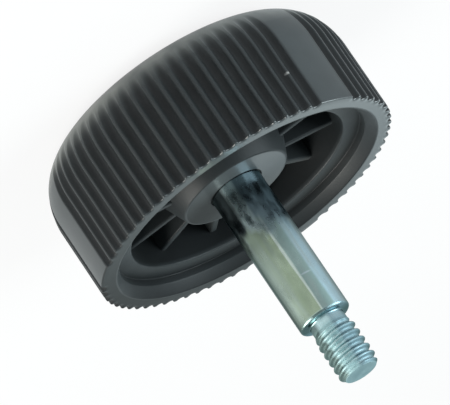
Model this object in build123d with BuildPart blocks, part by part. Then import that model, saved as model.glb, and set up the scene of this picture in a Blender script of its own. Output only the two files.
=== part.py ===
from build123d import *
from math import cos, radians, sin, tan
import os

# A knurled clamping knob: a moulded cup-shaped head on a shouldered steel stud.
# It stands on its flat top with the stud pointing up, and the origin is at the
# centre of that flat top. Lengths are in millimetres, angles in degrees.

# Head, outside: a tight arc rounds the top edge, and a wider one blends it into the side
head_d = 48.0
head_h = 19.8
top_edge_r = 7.0
side_blend_r = 11.0
side_blend_deg = 22.0

# Knurl: round-bottomed flutes in equal runs, with a plain land between two runs
land_count = 3
first_land_deg = 90.0
flutes_per_run_count = 21
flute_pitch_deg = 5.0
flute_r = 0.81
flute_depth = 0.65

# Head, inside: a bevelled mouth, a ledge below it, then the deep cavity
rim_face_w = 2.5
mouth_bevel_w = 1.2
mouth_bevel_h = 1.4
ledge_depth = 2.6
ledge_w = 2.8
ledge_chamfer = 0.3
cavity_depth = 14.0
cavity_draft_deg = 1.0

# Flared boss in the middle of the cavity
boss_face_d = 16.9
boss_face_depth = 3.0
boss_flare_deg = 23.0
boss_chamfer = 0.6

# Radial ribs between the boss and the cavity wall
rib_count = 12
first_rib_deg = 0.0
rib_root_w = 1.3
rib_top_depth = 5.2
rib_draft_deg = 0.5
rib_end_bury = 1.2

# Stud: a plain shank from the boss face to a shoulder, a relief neck, then the thread's blank
shank_d = 7.94
shank_reach = 20.6
shoulder_chamfer = 0.4
neck_d = 4.8
neck_l = 1.4
thread_d = 6.35
thread_l = 7.8
thread_end_chamfer = 0.7
thread_start_chamfer = 0.45

# Hexagonal foot and grip groove that hold the stud in the moulding
foot_across_flats = 11.1
foot_h = 6.0
groove_d = 5.6
groove_l = 3.0

# How far a cut runs past the surface that it opens
overrun = 1.0

head_r = head_d / 2
arc_step = side_blend_r - top_edge_r
top_r = head_r - side_blend_r + arc_step * cos(radians(side_blend_deg))
side_z = top_edge_r + arc_step * sin(radians(side_blend_deg))
blend_r = top_r + top_edge_r * cos(radians(side_blend_deg))
blend_z = top_edge_r - top_edge_r * sin(radians(side_blend_deg))

rim_inner_r = head_r - rim_face_w
mouth_r = rim_inner_r - mouth_bevel_w
cavity_r = mouth_r - ledge_w
ledge_z = head_h - ledge_depth
floor_z = head_h - cavity_depth
cavity_floor_r = cavity_r - (ledge_z - floor_z) * tan(radians(cavity_draft_deg))

boss_face_r = boss_face_d / 2
boss_face_z = head_h - boss_face_depth
root_z = floor_z / 2
boss_root_r = boss_face_r + (boss_face_z - root_z) * tan(radians(boss_flare_deg))

rib_top_z = head_h - rib_top_depth
rib_inner_r = boss_face_r - rib_end_bury
rib_outer_r = cavity_r + rib_end_bury

shank_r = shank_d / 2
neck_r = neck_d / 2
thread_r = thread_d / 2
groove_r = groove_d / 2
foot_top_z = boss_face_z - groove_l
shoulder_z = head_h + shank_reach
thread_z = shoulder_z + neck_l
tip_z = thread_z + thread_l

# The stud, turned from steel in one piece with its foot
with BuildPart() as stud:
    with BuildSketch(Plane.XY.offset(foot_top_z - foot_h)):
        RegularPolygon(radius=foot_across_flats / 2, side_count=6, major_radius=False)
    extrude(amount=foot_h)
    with BuildSketch(Plane.XZ) as stud_section:
        with BuildLine():
            Polyline(
                (0, foot_top_z),
                (groove_r, foot_top_z),
                (groove_r, boss_face_z),
                (shank_r, boss_face_z),
                (shank_r, shoulder_z),
                (neck_r, shoulder_z),
                (neck_r, thread_z),
                (thread_r, thread_z),
                (thread_r, tip_z),
                (0, tip_z),
                close=True,
            )
        make_face()
        corners = stud_section.vertices()
        chamfer(corners.sort_by_distance((shank_r, shoulder_z))[0], length=shoulder_chamfer)
        chamfer(corners.sort_by_distance((thread_r, thread_z))[0], length=thread_start_chamfer)
        chamfer(corners.sort_by_distance((thread_r, tip_z))[0], length=thread_end_chamfer)
    revolve(axis=Axis.Z)

# The head, moulded in one piece around the stud
with BuildPart() as knob_head:
    # Cup wall: flat top, rounded top edge, straight side, rim, ledge and cavity
    with BuildSketch(Plane.XZ) as cup_section:
        with BuildLine():
            top = Line((0, 0), (top_r, 0))
            top_edge = TangentArc(top @ 1, (blend_r, blend_z), tangent=top % 1)
            side_blend = TangentArc(top_edge @ 1, (head_r, side_z), tangent=top_edge % 1)
            Polyline(
                side_blend @ 1,
                (head_r, head_h),
                (rim_inner_r, head_h),
                (mouth_r, head_h - mouth_bevel_h),
                (mouth_r, ledge_z),
                (cavity_r, ledge_z),
                (cavity_floor_r, floor_z),
                (0, floor_z),
                top @ 0,
            )
        make_face()
        corners = cup_section.vertices()
        chamfer(corners.sort_by_distance((cavity_r, ledge_z))[0], length=ledge_chamfer)
    revolve(axis=Axis.Z)

    # Knurl: each run of flutes lies between two lands, and runs out on the top edge
    with BuildSketch(Plane.XY.offset(-overrun)):
        for land in range(land_count):
            run_middle_deg = first_land_deg + (land + 0.5) * 360 / land_count
            run_deg = (flutes_per_run_count - 1) * flute_pitch_deg
            with PolarLocations(
                head_r - flute_depth + flute_r,
                flutes_per_run_count,
                start_angle=run_middle_deg - run_deg / 2,
                angular_range=run_deg,
                endpoint=True,
            ):
                Circle(flute_r)
    extrude(amount=head_h + 2 * overrun, mode=Mode.SUBTRACT)

    # Boss that carries the stud, rooted in the cavity's floor
    with BuildSketch(Plane.XZ) as boss_section:
        with BuildLine():
            Polyline(
                (0, root_z),
                (boss_root_r, root_z),
                (boss_face_r, boss_face_z),
                (0, boss_face_z),
                close=True,
            )
        make_face()
        corners = boss_section.vertices()
        chamfer(corners.sort_by_distance((boss_face_r, boss_face_z))[0], length=boss_chamfer)
    revolve(axis=Axis.Z)

    # Ribs, rooted in the floor, and buried in the boss and the cavity wall at their ends
    with BuildSketch(Plane.XY.offset(root_z)):
        with PolarLocations((rib_inner_r + rib_outer_r) / 2, rib_count, start_angle=first_rib_deg):
            Rectangle(rib_outer_r - rib_inner_r, rib_root_w)
    extrude(amount=rib_top_z - root_z, taper=rib_draft_deg)

    # The moulding closes on the stud face to face
    add(stud.part, mode=Mode.SUBTRACT)

knob_head.part.label = "knob_head"
stud.part.label = "stud"

os.makedirs("parts", exist_ok=True)
export_step(knob_head.part, "parts/knob_head.step")
export_step(stud.part, "parts/stud.step")
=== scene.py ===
"""Dresses the knurled knob: a dark moulded head on a zinc-plated stud.

The knob stands on its flat top, with the stud up. Lengths are in metres, written in millimetres
times mm. Angles in degrees end in _deg. A span is the pair of values between which a finish
changes, and its shares are what it changes from and to. Colours are linear.
"""
import math

import bmesh
import bpy
from mathutils import Matrix, Vector


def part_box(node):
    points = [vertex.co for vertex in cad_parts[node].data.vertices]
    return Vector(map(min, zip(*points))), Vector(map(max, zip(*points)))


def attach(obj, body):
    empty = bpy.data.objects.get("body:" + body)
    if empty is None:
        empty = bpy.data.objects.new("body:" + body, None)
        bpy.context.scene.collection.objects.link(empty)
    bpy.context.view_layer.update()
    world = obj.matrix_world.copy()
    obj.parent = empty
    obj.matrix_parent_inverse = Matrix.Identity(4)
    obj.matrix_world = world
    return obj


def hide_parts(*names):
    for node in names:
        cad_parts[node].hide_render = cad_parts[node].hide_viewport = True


mm = 0.001

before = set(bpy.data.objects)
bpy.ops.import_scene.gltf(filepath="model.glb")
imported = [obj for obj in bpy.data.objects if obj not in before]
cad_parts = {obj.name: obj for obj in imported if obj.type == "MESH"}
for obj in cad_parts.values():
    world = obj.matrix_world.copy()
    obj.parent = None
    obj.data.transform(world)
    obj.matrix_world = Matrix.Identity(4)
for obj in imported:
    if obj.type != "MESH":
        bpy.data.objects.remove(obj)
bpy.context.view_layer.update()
_, head_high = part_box("knob_head")
stud_low, stud_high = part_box("stud")

# Head, outside. One land faces +Y, so the box reaches the full radius there.
head_r = head_high[1]
rim_z = head_high[2]
top_edge_r = 7.0 * mm
side_blend_r = 11.0 * mm
side_blend_deg = 22.0
side_z = top_edge_r + (side_blend_r - top_edge_r) * math.sin(math.radians(side_blend_deg))
top_flat_inset = 1.0 * mm
rim_edge_r = 0.22 * mm
rim_band_w = 1.2 * mm
rim_band_r = head_r - rim_band_w

# Knurl: three runs of round-bottomed flutes with a plain land between two runs. The flutes'
# floors bend in along the top edge.
land_count = 3
first_land_deg = 90.0
flutes_per_run_count = 21
flute_pitch_deg = 5.0
flute_r = 0.81 * mm
flute_depth = 0.65 * mm
flute_bend_r = 16.0 * mm
ridge_soft = 0.42 * mm
no_flute_r = 2 * head_r

# Head, inside
rim_face_w = 2.5 * mm
mouth_bevel_w = 1.2 * mm
mouth_bevel_h = 1.4 * mm
ledge_depth = 2.6 * mm
ledge_w = 2.8 * mm
cavity_depth = 14.0 * mm
cavity_draft_w = 0.2 * mm
boss_face_r = 8.45 * mm
boss_face_depth = 3.0 * mm
boss_flare_deg = 23.0
rim_inner_r = head_r - rim_face_w
mouth_r = rim_inner_r - mouth_bevel_w
mouth_z = rim_z - mouth_bevel_h
ledge_z = rim_z - ledge_depth
cavity_r = mouth_r - ledge_w
floor_z = rim_z - cavity_depth
cavity_floor_r = cavity_r - cavity_draft_w
boss_face_z = rim_z - boss_face_depth
boss_root_r = boss_face_r + (boss_face_z - floor_z) * math.tan(math.radians(boss_flare_deg))

# Small rounds inside the head, and the gap where the plastic has shrunk back from the shank
rim_inner_edge_r = 0.3 * mm
mouth_edge_r = 0.35 * mm
ledge_corner_r = 0.15 * mm
ledge_edge_r = 0.25 * mm
floor_corner_r = 1.0 * mm
boss_foot_r = 0.9 * mm
boss_edge_r = 0.35 * mm
shrink_gap_w = 0.25 * mm
shrink_gap_h = 0.3 * mm

# Ribs, whose ends are buried in the boss and the wall
rib_count = 12
rib_root_w = 1.3 * mm
rib_top_w = 1.14 * mm
rib_top_depth = 5.2 * mm
rib_end_bury = 1.2 * mm
rib_fillet_r = 0.5 * mm
rib_edge_r = 0.3 * mm
rib_top_z = rim_z - rib_top_depth
rib_inner_r = boss_face_r - rib_end_bury
rib_outer_r = cavity_r + rib_end_bury

# Stud. Its foot and groove are hidden in the head.
foot_h = 6.0 * mm
foot_across_flats = stud_high[1] - stud_low[1]
groove_r = 2.8 * mm
shank_r = 3.97 * mm
shank_reach = 20.6 * mm
shoulder_edge_r = 0.42 * mm
neck_r = 2.7 * mm
neck_l = 1.4 * mm
neck_corner_r = 0.25 * mm
thread_r = 3.175 * mm
thread_pitch = 1.27 * mm
thread_root_r = 2.64 * mm
thread_crest_w = 0.24 * mm
thread_flank_deg = 30.0
thread_runout_l = 1.3 * mm
thread_end_chamfer = 0.7 * mm
thread_soft = 0.26 * mm
foot_low_z = stud_low[2]
foot_top_z = foot_low_z + foot_h
shoulder_z = rim_z + shank_reach
thread_z = shoulder_z + neck_l
tip_z = stud_high[2]

# How finely the meshes follow their curves
flute_steps = 7
land_steps = 24
top_edge_steps = 26
side_blend_steps = 14
side_steps = 4
rim_edge_steps = 4
corner_steps = 5
rib_corner_steps = 4
inside_steps = 240
stud_steps = 144
thread_steps = 110
sharp_edge_deg = 40.0

# How light the plastic is painted, where a land is 1 and a flute's bottom 0
# This is painted light and shade: painted shade in the flutes, mouth bevel, corners and cavity wall,
# painted light on ridges, lands, rim, ledge, boss face and rib tops, painted fill light on the cavity
# floor. Lands, ridges and rim are also rubbed.
ridge_light_share = 0.55
rim_light_share = 0.68
bevel_light_share = 0.15
mouth_light_share = 0.42
corner_light_share = 0.04
ledge_light_share = 0.66
wall_light_share = 0.12
cavity_floor_light_share = 0.5
boss_light_share = 0.58
rib_light_share = 0.7
wall_shade_h = 0.8 * mm

# Rim and boss face are painted lighter on one side of the head, as painted light from that side, and are
# polished there and dull opposite
lit_and_worn_side_deg = 192.0
rim_swing_share = 0.5
boss_swing_share = 0.33
finish_per_swing = 2.0
polish_rough_share = 0.2
polish_ior = 1.75
dull_rough_share = 0.4

# Most of a noise lies in this span
noise_span = (0.3, 0.7)
grain_detail = 2.0
patch_detail = 4.0
falling_shares = (1.0, 0.0)

# Plastic finish
flute_black = (0.0105, 0.012, 0.013, 1)
land_grey = (0.052, 0.059, 0.062, 1)
dull_grey = (0.024, 0.027, 0.029, 1)
# A painted reflection of the pale floor on the low top edge, laid on in patches
floor_reflection_grey = (0.22, 0.223, 0.21, 1)
crest_span = (0.1, 1.0)
dull_patch_span = (0.35, 0.7)
dull_patch_shares = (0.0, 0.3)
floor_reflection_height_span = (1.8 * mm, 5.0 * mm)
floor_reflection_shares = (0.45, 1.0)
plastic_rough_shares = (0.46, 0.38)
plastic_specular_share = 0.22
plastic_sheen_share = 0.12
sheen_rough_share = 0.4
sheen_tint = (0.9, 1.0, 1.0, 1)
plastic_bump_share = 0.15
plastic_bump_h = 0.02 * mm
plastic_marks = {"Grain Scale": 5000.0, "Patch Scale": 260.0, "Lengthwise": 1.0}

# Small marks: a nick across the first ridge beside a land, and a short scratch across the shank
mark_full_share = 0.4
nick_pale = (0.3, 0.29, 0.28, 1)
ridge_nick = {
    "Middle": (-17.6 * mm, -16.2 * mm, 13.69 * mm),
    "Narrowing": (1.0, 1.0, 2.4),
    "Reach": 0.62 * mm,
}
scratch_pale = (0.34, 0.43, 0.46, 1)
shank_scratch = {
    "Middle": (-1.92 * mm, -3.36 * mm, 34.13 * mm),
    "Narrowing": (1.0, 1.0, 6.0),
    "Reach": 1.1 * mm,
}

# Zinc finish. The bands lie round the stud by shares of half a turn, and come twice round it.
# They hold plating tints and painted light: painted shade at the shank's edges, a painted highlight
# streak beside the side that faces the camera, and olive and blue sides that are tint and painted
# reflection of the surroundings.
bands_start_deg = -9.5
band_wander_shares = (-0.02, 0.02)
shaded_edge_green = (0.085, 0.105, 0.09, 1)
pale_green = (0.21, 0.27, 0.235, 1)
olive = (0.29, 0.37, 0.273, 1)
highlight_streak = (0.48, 0.57, 0.53, 1)
slate_green = (0.225, 0.318, 0.308, 1)
pale_blue = (0.31, 0.435, 0.487, 1)
shaded_edge_blue = (0.28, 0.35, 0.36, 1)
shank_tint_and_light_bands = (
    (0.0, shaded_edge_green),
    (0.1, shaded_edge_green),
    (0.22, pale_green),
    (0.39, olive),
    (0.502, olive),
    (0.516, highlight_streak),
    (0.534, highlight_streak),
    (0.55, slate_green),
    (0.665, slate_green),
    (0.705, pale_blue),
    (0.80, pale_blue),
    (0.87, shaded_edge_blue),
    (1.0, shaded_edge_green),
)
lilac_grey = (0.27, 0.335, 0.33, 1)
lilac_span = (0.45, 0.65)
lilac_shares = (0.0, 0.5)

# The root, beside the boss, is painted darker as a reflection of the dark cup, with a painted highlight
# streak, and ends in a ragged edge
reflected_black = (0.05, 0.065, 0.07, 1)
root_highlight_pale = (0.64, 0.8, 0.82, 1)
reflected_slate = (0.27, 0.37, 0.42, 1)
reflected_dark = (0.14, 0.195, 0.225, 1)
root_reflection_bands = (
    (0.0, reflected_black),
    (0.29, reflected_black),
    (0.37, root_highlight_pale),
    (0.45, root_highlight_pale),
    (0.5, reflected_slate),
    (0.62, reflected_slate),
    (0.68, reflected_dark),
    (1.0, reflected_dark),
)
root_l = 7.0 * mm
root_fade_l = 2.5 * mm
root_ragged_l = 1.5 * mm
root_z = boss_face_z + root_l
bands_z = root_z + root_fade_l

# Neck, thread and tip
# The thread's bands are plating tint and painted light: a shaded green side, a pale painted highlight and
# a bluer side
thread_shade_green = (0.14, 0.2, 0.195, 1)
thread_highlight_pale = (0.47, 0.65, 0.67, 1)
thread_blue = (0.28, 0.4, 0.44, 1)
thread_light_bands = (
    (0.0, thread_shade_green),
    (0.25, thread_shade_green),
    (0.34, thread_highlight_pale),
    (0.52, thread_highlight_pale),
    (0.6, thread_blue),
    (0.82, thread_blue),
    (1.0, thread_shade_green),
)
tip_blue = (0.375, 0.525, 0.55, 1)
tip_tint_l = 0.1 * mm
thread_tint_l = 0.6 * mm
thread_dull_shares = (0.0, 0.32)

# Gloss and marks of the zinc
zinc_rough_span = (0.35, 0.65)
zinc_rough_shares = (0.16, 0.44)
zinc_specular_tint = (0.5, 0.58, 0.59, 1)
zinc_bump_share = 0.12
zinc_bump_h = 0.05 * mm
zinc_streaks = {"Patch Scale": 700.0, "Lengthwise": 12.0}
zinc_mottle = {"Patch Scale": 520.0, "Lengthwise": 2.0}

# Camera, as the photograph was taken: from a little above the rim, rolled until the stud
# points to the lower right
camera_distance = 1.0
camera_azimuth_deg = -9.5
camera_elevation_deg = 19.2
camera_roll_deg = 55.92
aim_left = 3.185 * mm
aim_up = 0.28 * mm
camera_lens = 570.2
camera_sensor = 36.0
camera_near = 0.01
camera_far = 50.0

# Studio. Each lamp has its distance to the side and to the front, its power and its colour.
floor_half = 3.0
floor_pale = (0.86, 0.86, 0.86, 1)
floor_rough_share = 0.9
floor_glow_share = 0.85
sky_cool = (0.82, 0.96, 1.0, 1)
overhead_span = (0.05, 0.9)
overhead_shares = (1.0, 0.45)
front_span = (-0.3, 1.0)
front_shares = (0.95, 0.3)
lamp_size = 0.42
lamp_h = 0.22
lamps = {
    "warm_side": (0.45, 0.06, 3.0, (1.0, 0.98, 0.92)),
    "cool_side": (-0.4, 0.1, 2.0, (0.84, 0.96, 1.0)),
}


def soft_min(a, b, blend):
    """The smaller of two lengths, with the corner between them rounded over blend."""
    near = max(blend - abs(a - b), 0) / blend
    return min(a, b) - near * near * blend / 4


def soft_max(a, b, blend):
    """The larger of two lengths, with the corner between them rounded over blend."""
    return -soft_min(-a, -b, blend)


def even_angles(count):
    return [2 * math.pi * step / count for step in range(count)]


def add_ring(mesh, angles, points):
    """Add one ring of vertices. points gives a radius and a height for each angle."""
    return [
        mesh.verts.new((radius * math.cos(angle), radius * math.sin(angle), height))
        for angle, (radius, height) in zip(angles, points)
    ]


def join_rings(mesh, lower, upper):
    """Join two rings that have the same number of vertices with quads."""
    count = len(lower)
    for here in range(count):
        after = (here + 1) % count
        mesh.faces.new((lower[here], lower[after], upper[after], upper[here]))


def zip_rings(mesh, lower, lower_angles, upper, upper_angles):
    """Join two rings that have different numbers of vertices with triangles."""
    lower_ends = lower_angles[1:] + [2 * math.pi + lower_angles[0]]
    upper_ends = upper_angles[1:] + [2 * math.pi + upper_angles[0]]
    here, there = 0, 0
    while here < len(lower) or there < len(upper):
        a = lower[here % len(lower)]
        b = upper[there % len(upper)]
        if there == len(upper) or (here < len(lower) and lower_ends[here] <= upper_ends[there]):
            mesh.faces.new((a, lower[(here + 1) % len(lower)], b))
            here += 1
        else:
            mesh.faces.new((a, upper[(there + 1) % len(upper)], b))
            there += 1


def close_ring(mesh, ring, height):
    """Close a ring with triangles that meet on the axis."""
    middle = mesh.verts.new((0, 0, height))
    for here in range(len(ring)):
        mesh.faces.new((ring[here], ring[(here + 1) % len(ring)], middle))


def rounded_corners(corners, steps):
    """Turn corners given as (radius, height, rounding) into a line with round corners."""
    line = []
    for index, (radius, height, rounding) in enumerate(corners):
        corner = Vector((radius, height))
        if rounding == 0:
            line.append(corner)
            continue
        back = (Vector(corners[index - 1][:2]) - corner).normalized()
        ahead = (Vector(corners[index + 1][:2]) - corner).normalized()
        half = back.angle(ahead) / 2
        centre = corner + (back + ahead).normalized() * rounding / math.sin(half)
        start = corner + back * rounding / math.tan(half) - centre
        end = corner + ahead * rounding / math.tan(half) - centre
        sweep = start.angle_signed(end)
        for step in range(steps + 1):
            turn = Matrix.Rotation(-sweep * step / steps, 2)
            line.append(centre + turn @ start)
    return line


def flute_middles():
    """The angle of each flute's middle, in radians, in order."""
    middles = []
    for run in range(land_count):
        run_middle_deg = first_land_deg + (run + 0.5) * 360 / land_count
        for flute in range(flutes_per_run_count):
            step = flute - (flutes_per_run_count - 1) / 2
            middles.append(math.radians(run_middle_deg + step * flute_pitch_deg))
    return middles


def knurl_columns():
    """Angles round the head, each with its angle from its flute's middle, or None on a land."""
    flute_half = math.asin(math.sqrt(flute_r ** 2 - (flute_r - flute_depth) ** 2) / head_r)
    cell_half = math.radians(flute_pitch_deg) / 2
    near = [flute_half * math.sin(math.pi / 2 * step / flute_steps) for step in range(flute_steps + 1)]
    near.append((flute_half + cell_half) / 2)
    offsets = [-offset for offset in reversed(near)] + near[1:] + [cell_half]
    land_span = 2 * math.pi / land_count - flutes_per_run_count * math.radians(flute_pitch_deg)
    columns = []
    for number, middle in enumerate(flute_middles()):
        columns += [(middle + offset, offset) for offset in offsets]
        if number % flutes_per_run_count == flutes_per_run_count - 1:
            edge = middle + cell_half
            columns += [(edge + land_span * step / land_steps, None) for step in range(1, land_steps)]
            columns.append((edge + land_span, cell_half))
    columns = [(angle % (2 * math.pi), offset) for angle, offset in columns]
    return sorted(columns, key=lambda column: column[0])


def flute_bottom(offset):
    """The radius at which the flute's floor lies, at this angle from the flute's middle."""
    if offset is None:
        return no_flute_r
    axis_r = head_r - flute_depth + flute_r
    aside = axis_r * math.sin(offset)
    if abs(aside) >= flute_r:
        return no_flute_r
    return axis_r * math.cos(offset) - math.sqrt(flute_r ** 2 - aside ** 2)


def flute_bend(height):
    """How far the flutes' floors have bent in at a height, once they leave the straight side."""
    return max(side_z - height, 0) ** 2 / (2 * flute_bend_r)


def outer_profile():
    """Radius and height from the flat top's edge, round the top edge and up the side to the rim."""
    blend = math.radians(side_blend_deg)
    arc_step = side_blend_r - top_edge_r
    top_r = head_r - side_blend_r + arc_step * math.cos(blend)
    line = []
    for step in range(top_edge_steps):
        angle = math.pi / 2 + (blend - math.pi / 2) * step / top_edge_steps
        line.append((top_r + top_edge_r * math.cos(angle), top_edge_r - top_edge_r * math.sin(angle)))
    for step in range(side_blend_steps):
        angle = blend * (1 - step / side_blend_steps)
        radius = head_r - side_blend_r * (1 - math.cos(angle))
        line.append((radius, side_z - side_blend_r * math.sin(angle)))
    for step in range(side_steps + 1):
        line.append((head_r, side_z + (rim_z - rim_edge_r - side_z) * step / side_steps))
    return line


def inner_profile():
    """The line from the rim, through mouth, ledge, cavity and boss, to the stud's bore.

    Each point comes with how light the plastic is painted there, as painted light and shade, and how much
    that swings round the head.
    """
    down_share = wall_shade_h / (ledge_z - floor_z)
    shaded_r = cavity_r + (cavity_floor_r - cavity_r) * down_share
    corners = [
        (rim_inner_r + rim_inner_edge_r, rim_z, 0, rim_light_share, rim_swing_share),
        (rim_inner_r, rim_z, rim_inner_edge_r, bevel_light_share, 0),
        (mouth_r, mouth_z, mouth_edge_r, mouth_light_share, 0),
        (mouth_r, ledge_z, ledge_corner_r, corner_light_share, 0),
        (cavity_r, ledge_z, ledge_edge_r, ledge_light_share, 0),
        (shaded_r, ledge_z - wall_shade_h, 0, wall_light_share, 0),
        (cavity_floor_r, floor_z, floor_corner_r, wall_light_share, 0),
        (boss_root_r, floor_z, boss_foot_r, cavity_floor_light_share, 0),
        (boss_face_r, boss_face_z, boss_edge_r, boss_light_share, 0),
        (boss_face_r - boss_edge_r, boss_face_z, 0, boss_light_share, boss_swing_share),
        (shank_r + shrink_gap_w, boss_face_z, 0, boss_light_share, boss_swing_share),
        (shank_r, boss_face_z - shrink_gap_h, 0, corner_light_share, 0),
        (groove_r, boss_face_z - shrink_gap_h, 0, corner_light_share, 0),
        (groove_r, foot_top_z, 0, corner_light_share, 0),
    ]
    line = rounded_corners([corner[:3] for corner in corners], corner_steps)
    light_and_wear = []
    for _, _, rounding, share, swing in corners:
        light_and_wear += [(share, swing)] * (corner_steps + 1 if rounding else 1)
    return [(point, share, swing) for point, (share, swing) in zip(line, light_and_wear)]


def light_and_wear_ring(ring, angles, light_and_wear, share, swing):
    """Note how light a ring is painted, as painted light and shade, and how polished and dulled it is, by
    its share and its swing round the head.
    """
    lit_and_rubbed, polished, dulled = light_and_wear
    for vertex, angle in zip(ring, angles):
        lean = math.cos(angle - math.radians(lit_and_worn_side_deg))
        # Painted light: each ring is painted lighter on one side of the head than on the other
        vertex[lit_and_rubbed] = share + swing * lean
        vertex[polished] = finish_per_swing * swing * ((1 + lean) / 2) ** 2
        vertex[dulled] = finish_per_swing * swing * ((1 - lean) / 2) ** 2


def rib_section():
    """Half-width and height round one rib, from its root on one side to its root on the other."""
    half = rib_root_w / 2
    top_half = rib_top_w / 2
    one_side = rounded_corners([
        (half + 2 * rib_fillet_r, floor_z - rib_fillet_r, 0),
        (half + 2 * rib_fillet_r, floor_z, 0),
        (half, floor_z, rib_fillet_r),
        (top_half, rib_top_z, rib_edge_r),
        (0, rib_top_z, 0),
    ], rib_corner_steps)
    other_side = [Vector((-point.x, point.y)) for point in reversed(one_side[:-1])]
    return one_side + other_side


def add_ribs(mesh, lit_and_rubbed):
    """Add the ribs, painted lighter towards their tops as a painted highlight on their top edges."""
    section = rib_section()
    for rib in range(rib_count):
        turn = Matrix.Rotation(2 * math.pi * rib / rib_count, 3, "Z")
        ends = []
        for radius in (rib_inner_r, rib_outer_r):
            ends.append([mesh.verts.new(turn @ Vector((radius, point.x, point.y))) for point in section])
            for vertex in ends[-1]:
                up_share = (vertex.co.z - floor_z) / (rib_top_z - floor_z)
                vertex[lit_and_rubbed] = cavity_floor_light_share + (rib_light_share - cavity_floor_light_share) * up_share
        join_rings(mesh, ends[0], ends[1])
        mesh.faces.new(ends[0])
        mesh.faces.new(list(reversed(ends[1])))


def add_piece(name, mesh, node):
    """Make an object of the mesh that stands for the CAD node and moves with it."""
    bmesh.ops.recalc_face_normals(mesh, faces=mesh.faces)
    data = bpy.data.meshes.new(name)
    mesh.to_mesh(data)
    mesh.free()
    data.polygons.foreach_set("use_smooth", [True] * len(data.polygons))
    data.set_sharp_from_angle(angle=math.radians(sharp_edge_deg))
    piece = bpy.data.objects.new(name, data)
    bpy.context.collection.objects.link(piece)
    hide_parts(node)
    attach(piece, "root")
    return piece


def build_head():
    """The moulded head: knurled outside, rounded mouth, ledge, cavity, boss and ribs.

    One attribute paints light and shade, with rubbing: 1 on the lands and the top edge, less on the
    ridges, 0 at a flute's bottom as painted shade. "polished" is 1 on the worn side of the rim, also
    painted lighter as if lit, and 0 opposite, and "dulled" is 1 there. The boss face has less of both.
    """
    mesh = bmesh.new()
    light_and_wear = [mesh.verts.layers.float.new(name) for name in ("lit_and_rubbed", "polished", "dulled")]
    lit_and_rubbed = light_and_wear[0]
    columns = knurl_columns()
    angles = [angle for angle, _ in columns]
    bottoms = [flute_bottom(offset) for _, offset in columns]
    plain_angles = even_angles(inside_steps)
    outside = outer_profile()

    rings = []
    for radius, height in outside:
        bend = flute_bend(height)
        radii = [soft_min(radius, bottom - bend, ridge_soft) for bottom in bottoms]
        ring = add_ring(mesh, angles, [(sunk, height) for sunk in radii])
        # Painted shade deep in each flute and painted light on ridges and lands, which are rubbed too
        fluted_share = (radius - min(radii)) / flute_depth
        crest_share = 1 - (1 - ridge_light_share) * fluted_share
        for vertex, sunk, (_, offset) in zip(ring, radii, columns):
            vertex[lit_and_rubbed] = 1 if offset is None else crest_share * (1 - (radius - sunk) / flute_depth)
        rings.append(ring)
    for step in range(1, rim_edge_steps + 1):
        angle = math.pi / 2 * step / rim_edge_steps
        inset = rim_edge_r * (1 - math.cos(angle))
        height = rim_z - rim_edge_r * (1 - math.sin(angle))
        radii = [soft_min(head_r, bottom, ridge_soft) - inset for bottom in bottoms]
        rings.append(add_ring(mesh, angles, [(radius, height) for radius in radii]))
    rings.append(add_ring(mesh, angles, [(rim_band_r, rim_z)] * len(angles)))
    # The rim's rings get the same painted light from one side
    for ring in rings[-rim_edge_steps - 1:]:
        light_and_wear_ring(ring, angles, light_and_wear, rim_light_share, rim_swing_share)
    for lower, upper in zip(rings, rings[1:]):
        join_rings(mesh, lower, upper)

    inner = []
    for point, share, swing in inner_profile():
        ring = add_ring(mesh, plain_angles, [tuple(point)] * len(plain_angles))
        light_and_wear_ring(ring, plain_angles, light_and_wear, share, swing)
        inner.append(ring)
    zip_rings(mesh, rings[-1], angles, inner[0], plain_angles)
    for lower, upper in zip(inner, inner[1:]):
        join_rings(mesh, lower, upper)
    close_ring(mesh, inner[-1], foot_top_z)

    top_r = outside[0][0]
    top_ring = add_ring(mesh, plain_angles, [(top_r - top_flat_inset, 0)] * len(plain_angles))
    for vertex in top_ring:
        vertex[lit_and_rubbed] = 1
    zip_rings(mesh, rings[0], angles, top_ring, plain_angles)
    close_ring(mesh, top_ring, 0)
    add_ribs(mesh, lit_and_rubbed)
    return add_piece("moulded_head", mesh, "knob_head")


def thread_profile(turn_share):
    """The thread's radius at a share of one pitch, with a narrow crest and a wider root."""
    from_crest = abs(turn_share - 0.5) * thread_pitch
    flank = thread_r - (from_crest - thread_crest_w / 2) / math.tan(math.radians(thread_flank_deg))
    return soft_max(soft_min(flank, thread_r, thread_soft), thread_root_r, thread_soft)


def thread_radius(angle, height):
    """The right-hand thread, which runs out towards the neck and into a chamfer at the tip."""
    start = neck_r + (thread_r - neck_r) * (height - thread_z) / thread_runout_l
    end = thread_r - thread_end_chamfer + (tip_z - height)
    blank = min(thread_r, start, end)
    turns = (height - thread_z) / thread_pitch - angle / (2 * math.pi)
    return soft_min(thread_profile(turns % 1), blank, thread_soft / 2)


def hexagon_radius(angle):
    """Radius of the hexagonal foot, with a corner on +X."""
    sixth = math.pi / 3
    return foot_across_flats / 2 / math.cos(angle % sixth - sixth / 2)


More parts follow.
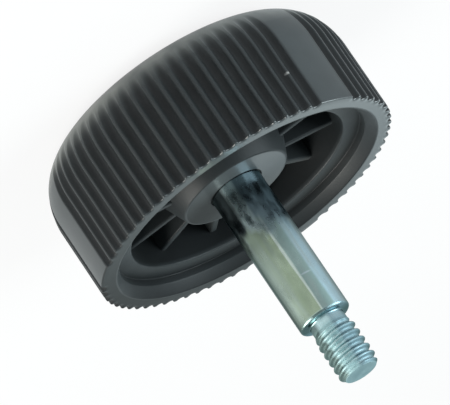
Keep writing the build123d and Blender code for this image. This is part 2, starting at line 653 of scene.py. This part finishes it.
def build_stud():
    """The stud: hidden foot and groove, plain shank, shoulder, neck and thread."""
    mesh = bmesh.new()
    angles = even_angles(stud_steps)
    rings = []
    for height in (foot_low_z, foot_top_z):
        rings.append(add_ring(mesh, angles, [(hexagon_radius(angle), height) for angle in angles]))
    turned = rounded_corners([
        (groove_r, foot_top_z, 0),
        (groove_r, boss_face_z, 0),
        (shank_r, boss_face_z, 0),
        (shank_r, (boss_face_z + shoulder_z) / 2, 0),
        (shank_r, shoulder_z, shoulder_edge_r),
        (neck_r, shoulder_z, neck_corner_r),
        (neck_r, thread_z, 0),
    ], corner_steps)
    for point in turned:
        rings.append(add_ring(mesh, angles, [tuple(point)] * len(angles)))
    for step in range(1, thread_steps + 1):
        height = thread_z + (tip_z - thread_z) * step / thread_steps
        rings.append(add_ring(mesh, angles, [(thread_radius(angle, height), height) for angle in angles]))
    for lower, upper in zip(rings, rings[1:]):
        join_rings(mesh, lower, upper)
    close_ring(mesh, rings[0], foot_low_z)
    close_ring(mesh, rings[-1], tip_z)
    return add_piece("threaded_stud", mesh, "stud")


def new_material(name):
    material = bpy.data.materials.new(name)
    material.use_nodes = True
    nodes = material.node_tree.nodes
    return material, nodes, material.node_tree.links, nodes["Principled BSDF"]


def feed(links, socket, value):
    """Link a socket to an input, or set a plain value on it."""
    if isinstance(value, bpy.types.NodeSocket):
        links.new(value, socket)
    else:
        socket.default_value = value


def math_node(nodes, links, operation, first, second=0.0):
    node = nodes.new("ShaderNodeMath")
    node.operation = operation
    feed(links, node.inputs[0], first)
    feed(links, node.inputs[1], second)
    return node.outputs["Value"]


def vector_node(nodes, links, operation, first, second):
    node = nodes.new("ShaderNodeVectorMath")
    node.operation = operation
    feed(links, node.inputs[0], first)
    feed(links, node.inputs[1], second)
    return node


def map_range(nodes, links, value, span, shares=(0.0, 1.0)):
    """Carry a value from a span over to shares, and hold it at their ends."""
    node = nodes.new("ShaderNodeMapRange")
    links.new(value, node.inputs["Value"])
    node.inputs["From Min"].default_value = span[0]
    node.inputs["From Max"].default_value = span[1]
    node.inputs["To Min"].default_value = shares[0]
    node.inputs["To Max"].default_value = shares[1]
    return node.outputs["Result"]


def mix_colours(nodes, links, mask, first, second):
    """Mix two colours, each a socket or a plain colour, by a mask."""
    mix = nodes.new("ShaderNodeMix")
    mix.data_type = "RGBA"
    links.new(mask, mix.inputs["Factor"])
    colour_inputs = [socket for socket in mix.inputs if socket.type == "RGBA"]
    for socket, colour in zip(colour_inputs, (first, second)):
        feed(links, socket, colour)
    return [socket for socket in mix.outputs if socket.type == "RGBA"][0]


def colour_bands(nodes, links, value, bands):
    """Colours along a value from 0 to 1. The first band starts at 0 and the last ends at 1."""
    ramp = nodes.new("ShaderNodeValToRGB")
    links.new(value, ramp.inputs["Fac"])
    elements = ramp.color_ramp.elements
    elements[0].color = bands[0][1]
    elements[1].color = bands[-1][1]
    for place, colour in bands[1:-1]:
        elements.new(place).color = colour
    return ramp.outputs["Color"]


def noise_node(nodes, links, vector, scale, detail):
    noise = nodes.new("ShaderNodeTexNoise")
    links.new(vector, noise.inputs["Vector"])
    links.new(scale, noise.inputs["Scale"])
    noise.inputs["Detail"].default_value = detail
    return noise.outputs["Fac"]


def bump_node(nodes, links, height, strength, distance):
    bump = nodes.new("ShaderNodeBump")
    bump.inputs["Strength"].default_value = strength
    bump.inputs["Distance"].default_value = distance
    links.new(height, bump.inputs["Height"])
    return bump.outputs["Normal"]


def light_and_wear_node(nodes, name):
    """How light the mesh paints a point, as painted light and shade with rubbing, or how polished or
    dulled it is.
    """
    node = nodes.new("ShaderNodeAttribute")
    node.attribute_name = name
    return node.outputs["Fac"]


def object_place(nodes, links):
    """The X, Y and Z of a point on the piece."""
    place = nodes.new("ShaderNodeTexCoord")
    split = nodes.new("ShaderNodeSeparateXYZ")
    links.new(place.outputs["Object"], split.inputs["Vector"])
    return split.outputs["X"], split.outputs["Y"], split.outputs["Z"]


def group_node(nodes, group, values):
    """Place a node group in a material with its own values."""
    node = nodes.new("ShaderNodeGroup")
    node.node_tree = group
    for name, value in values.items():
        node.inputs[name].default_value = value
    return node


def uneven_finish_group():
    """Fine grain and broad patches, both drawn out along the stud's axis by Lengthwise."""
    group = bpy.data.node_groups.new("uneven_finish", "ShaderNodeTree")
    for name in ("Grain Scale", "Patch Scale", "Lengthwise"):
        group.interface.new_socket(name, in_out="INPUT", socket_type="NodeSocketFloat")
    for name in ("Grain", "Patches"):
        group.interface.new_socket(name, in_out="OUTPUT", socket_type="NodeSocketFloat")
    nodes, links = group.nodes, group.links
    given = nodes.new("NodeGroupInput")
    result = nodes.new("NodeGroupOutput")
    x, y, height = object_place(nodes, links)
    joined = nodes.new("ShaderNodeCombineXYZ")
    links.new(x, joined.inputs["X"])
    links.new(y, joined.inputs["Y"])
    drawn_out = math_node(nodes, links, "DIVIDE", height, given.outputs["Lengthwise"])
    links.new(drawn_out, joined.inputs["Z"])
    vector = joined.outputs["Vector"]
    grain = noise_node(nodes, links, vector, given.outputs["Grain Scale"], grain_detail)
    patches = noise_node(nodes, links, vector, given.outputs["Patch Scale"], patch_detail)
    links.new(grain, result.inputs["Grain"])
    links.new(patches, result.inputs["Patches"])
    return group


def small_mark_group():
    """A mark that is 1 near Middle and 0 beyond Reach. Narrowing squeezes it along each axis."""
    group = bpy.data.node_groups.new("small_mark", "ShaderNodeTree")
    for name in ("Middle", "Narrowing"):
        group.interface.new_socket(name, in_out="INPUT", socket_type="NodeSocketVector")
    group.interface.new_socket("Reach", in_out="INPUT", socket_type="NodeSocketFloat")
    group.interface.new_socket("Mask", in_out="OUTPUT", socket_type="NodeSocketFloat")
    nodes, links = group.nodes, group.links
    given = nodes.new("NodeGroupInput")
    result = nodes.new("NodeGroupOutput")
    place = nodes.new("ShaderNodeTexCoord").outputs["Object"]
    away = vector_node(nodes, links, "SUBTRACT", place, given.outputs["Middle"]).outputs["Vector"]
    squeezed = vector_node(nodes, links, "MULTIPLY", away, given.outputs["Narrowing"])
    length = nodes.new("ShaderNodeVectorMath")
    length.operation = "LENGTH"
    links.new(squeezed.outputs["Vector"], length.inputs[0])
    far_share = math_node(nodes, links, "DIVIDE", length.outputs["Value"], given.outputs["Reach"])
    mask = map_range(nodes, links, far_share, (mark_full_share, 1.0), falling_shares)
    links.new(mask, result.inputs["Mask"])
    return group


def head_plastic(finish, mark):
    """Moulded plastic: black in the flutes and recesses as painted shade, greyer on ridges and lands as
    painted light with rubbing, and a painted reflection of the pale floor on the top edge.
    """
    material, nodes, links, shader = new_material("head_plastic")
    marks = group_node(nodes, finish, plastic_marks)
    patches = marks.outputs["Patches"]
    _, _, height = object_place(nodes, links)
    # Painted light and shade: black where the mesh notes shade, grey where it notes light or rubbing
    crest = map_range(nodes, links, light_and_wear_node(nodes, "lit_and_rubbed"), crest_span)
    colour = mix_colours(nodes, links, crest, flute_black, land_grey)
    dull_patch = map_range(nodes, links, patches, dull_patch_span, dull_patch_shares)
    colour = mix_colours(nodes, links, dull_patch, colour, dull_grey)
    # Painted reflection of the pale floor: the top edge is painted lighter low down, in patches, on
    # ridges and lands
    low = map_range(nodes, links, height, floor_reflection_height_span, falling_shares)
    uneven = map_range(nodes, links, patches, noise_span, floor_reflection_shares)
    floor_reflection = math_node(nodes, links, "MULTIPLY", low, uneven)
    floor_reflection = math_node(nodes, links, "MULTIPLY", floor_reflection, crest)
    colour = mix_colours(nodes, links, floor_reflection, colour, floor_reflection_grey)
    nick = group_node(nodes, mark, ridge_nick).outputs["Mask"]
    colour = mix_colours(nodes, links, nick, colour, nick_pale)
    links.new(colour, shader.inputs["Base Color"])

    rough = map_range(nodes, links, patches, noise_span, plastic_rough_shares)
    duller = math_node(nodes, links, "MULTIPLY", light_and_wear_node(nodes, "dulled"), dull_rough_share)
    rough = math_node(nodes, links, "ADD", rough, duller)
    links.new(rough, shader.inputs["Roughness"])
    grained = bump_node(nodes, links, marks.outputs["Grain"], plastic_bump_share, plastic_bump_h)
    links.new(grained, shader.inputs["Normal"])
    links.new(light_and_wear_node(nodes, "polished"), shader.inputs["Coat Weight"])
    shader.inputs["Coat IOR"].default_value = polish_ior
    shader.inputs["Coat Roughness"].default_value = polish_rough_share
    shader.inputs["Specular IOR Level"].default_value = plastic_specular_share
    shader.inputs["Sheen Weight"].default_value = plastic_sheen_share
    shader.inputs["Sheen Roughness"].default_value = sheen_rough_share
    shader.inputs["Sheen Tint"].default_value = sheen_tint
    return material


def stud_zinc(finish, mark):
    """Zinc plating: a painted reflection of the dark cup at the root, ragged at its edge, tinted bands
    round the shank with painted shade and a painted highlight, and a duller thread with painted light
    bands.
    """
    material, nodes, links, shader = new_material("stud_zinc")
    streaks = group_node(nodes, finish, zinc_streaks).outputs["Patches"]
    mottle = group_node(nodes, finish, zinc_mottle).outputs["Patches"]
    x, y, height = object_place(nodes, links)
    angle = math_node(nodes, links, "ARCTAN2", y, x)
    turned = math_node(nodes, links, "SUBTRACT", math.radians(bands_start_deg), angle)
    half_turns = math_node(nodes, links, "DIVIDE", turned, math.pi)
    wander = map_range(nodes, links, streaks, noise_span, band_wander_shares)
    half_turns = math_node(nodes, links, "ADD", half_turns, wander)
    share = math_node(nodes, links, "FRACT", half_turns)

    # Plating tints with painted shade at the edges and a painted highlight streak
    bands = colour_bands(nodes, links, share, shank_tint_and_light_bands)
    lilac = map_range(nodes, links, streaks, lilac_span, lilac_shares)
    bands = mix_colours(nodes, links, lilac, bands, lilac_grey)
    scratch = group_node(nodes, mark, shank_scratch).outputs["Mask"]
    bands = mix_colours(nodes, links, scratch, bands, scratch_pale)
    ragged = map_range(nodes, links, mottle, noise_span, (-root_ragged_l, root_ragged_l))
    ragged_height = math_node(nodes, links, "ADD", height, ragged)
    past_root = map_range(nodes, links, ragged_height, (root_z, bands_z))
    # Painted reflection of the dark cup on the root, with a pale painted highlight
    root = colour_bands(nodes, links, share, root_reflection_bands)
    colour = mix_colours(nodes, links, past_root, root, bands)
    past_shoulder = map_range(nodes, links, height, (shoulder_z - thread_tint_l, shoulder_z))
    # Painted light on the neck and thread: a shaded side and a painted highlight
    thread_painted_light = colour_bands(nodes, links, share, thread_light_bands)
    colour = mix_colours(nodes, links, past_shoulder, colour, thread_painted_light)
    past_turns = map_range(nodes, links, height, (tip_z - tip_tint_l, tip_z))
    colour = mix_colours(nodes, links, past_turns, colour, tip_blue)
    links.new(colour, shader.inputs["Base Color"])

    rough = map_range(nodes, links, mottle, zinc_rough_span, zinc_rough_shares)
    thread_span = (thread_z - thread_tint_l, thread_z)
    duller = map_range(nodes, links, height, thread_span, thread_dull_shares)
    rough = math_node(nodes, links, "ADD", rough, duller)
    links.new(rough, shader.inputs["Roughness"])
    streaked = bump_node(nodes, links, streaks, zinc_bump_share, zinc_bump_h)
    links.new(streaked, shader.inputs["Normal"])
    shader.inputs["Metallic"].default_value = 1.0
    shader.inputs["Specular Tint"].default_value = zinc_specular_tint
    return material


def camera_axes():
    """The directions to the camera, to the image's right and to its top."""
    azimuth = math.radians(camera_azimuth_deg)
    elevation = math.radians(camera_elevation_deg)
    roll = math.radians(camera_roll_deg)
    to_camera = Vector((
        math.sin(azimuth) * math.cos(elevation),
        -math.cos(azimuth) * math.cos(elevation),
        math.sin(elevation),
    ))
    upright = (Vector((0, 0, 1)) - to_camera.z * to_camera).normalized()
    sideways = to_camera.cross(upright)
    right = math.cos(roll) * upright + math.sin(roll) * sideways
    up = -math.sin(roll) * upright + math.cos(roll) * sideways
    return to_camera, right, up


def add_camera(to_camera, right, up):
    data = bpy.data.cameras.new("photo_camera")
    data.lens = camera_lens
    data.sensor_width = camera_sensor
    data.clip_start = camera_near
    data.clip_end = camera_far
    camera = bpy.data.objects.new("photo_camera", data)
    place = Vector((0, 0, rim_z)) + camera_distance * to_camera - aim_left * right + aim_up * up
    turn = Matrix((right, up, to_camera)).transposed().to_4x4()
    camera.matrix_world = Matrix.Translation(place) @ turn
    bpy.context.collection.objects.link(camera)
    bpy.context.scene.camera = camera


def camera_sees(nodes, links):
    """1 for what the camera sees straight, in a reflection or through glass."""
    path = nodes.new("ShaderNodeLightPath")
    total = math_node(nodes, links, "ADD", path.outputs["Is Camera Ray"], path.outputs["Is Glossy Ray"])
    total = math_node(nodes, links, "ADD", total, path.outputs["Is Transmission Ray"])
    return math_node(nodes, links, "MINIMUM", total, 1.0)


def add_floor():
    """A pale floor. The camera and reflections see it nearly white, with the part's soft shadow."""
    mesh = bpy.data.meshes.new("floor")
    corners = [
        (-floor_half, -floor_half, 0),
        (floor_half, -floor_half, 0),
        (floor_half, floor_half, 0),
        (-floor_half, floor_half, 0),
    ]
    mesh.from_pydata(corners, [], [(0, 1, 2, 3)])
    floor = bpy.data.objects.new("floor", mesh)
    bpy.context.collection.objects.link(floor)
    material, nodes, links, shader = new_material("pale_floor")
    shader.inputs["Base Color"].default_value = floor_pale
    shader.inputs["Roughness"].default_value = floor_rough_share
    share = math_node(nodes, links, "MULTIPLY", camera_sees(nodes, links), floor_glow_share)
    glow = nodes.new("ShaderNodeEmission")
    mix = nodes.new("ShaderNodeMixShader")
    links.new(share, mix.inputs["Fac"])
    links.new(shader.outputs["BSDF"], mix.inputs[1])
    links.new(glow.outputs["Emission"], mix.inputs[2])
    links.new(mix.outputs["Shader"], nodes["Material Output"].inputs["Surface"])
    floor.data.materials.append(material)


def add_world(front):
    """A pale studio, dimmer overhead and dimmest in front, where the camera stands."""
    world = bpy.data.worlds.new("studio")
    world.use_nodes = True
    nodes, links = world.node_tree.nodes, world.node_tree.links
    place = nodes.new("ShaderNodeTexCoord").outputs["Generated"]
    split = nodes.new("ShaderNodeSeparateXYZ")
    links.new(place, split.inputs["Vector"])
    lean = vector_node(nodes, links, "DOT_PRODUCT", place, front)
    overhead = map_range(nodes, links, split.outputs["Z"], overhead_span, overhead_shares)
    around = map_range(nodes, links, lean.outputs["Value"], front_span, front_shares)
    sky = nodes["Background"]
    sky.inputs["Color"].default_value = sky_cool
    links.new(math_node(nodes, links, "MULTIPLY", overhead, around), sky.inputs["Strength"])
    bpy.context.scene.world = world


def add_lamp(name, place, power, colour):
    """A round soft lamp that points at the middle of the rim."""
    data = bpy.data.lights.new(name, "AREA")
    data.shape = "DISK"
    data.size = lamp_size
    data.energy = power
    data.color = colour
    lamp = bpy.data.objects.new(name, data)
    target = Vector((0, 0, rim_z))
    lamp.location = place
    lamp.rotation_euler = (target - place).to_track_quat("-Z", "Y").to_euler()
    bpy.context.collection.objects.link(lamp)


to_camera, right, up = camera_axes()
add_camera(to_camera, right, up)
add_floor()
side = Vector((0, 0, 1)).cross(to_camera).normalized()
front = Vector((to_camera.x, to_camera.y, 0)).normalized()
add_world(front)
for name, (aside, ahead, power, colour) in lamps.items():
    add_lamp(name, aside * side + ahead * front + Vector((0, 0, lamp_h)), power, colour)

finish = uneven_finish_group()
mark = small_mark_group()
head = build_head()
head.data.materials.append(head_plastic(finish, mark))
stud = build_stud()
stud.data.materials.append(stud_zinc(finish, mark))
bpy.context.scene.view_settings.view_transform = "Standard"
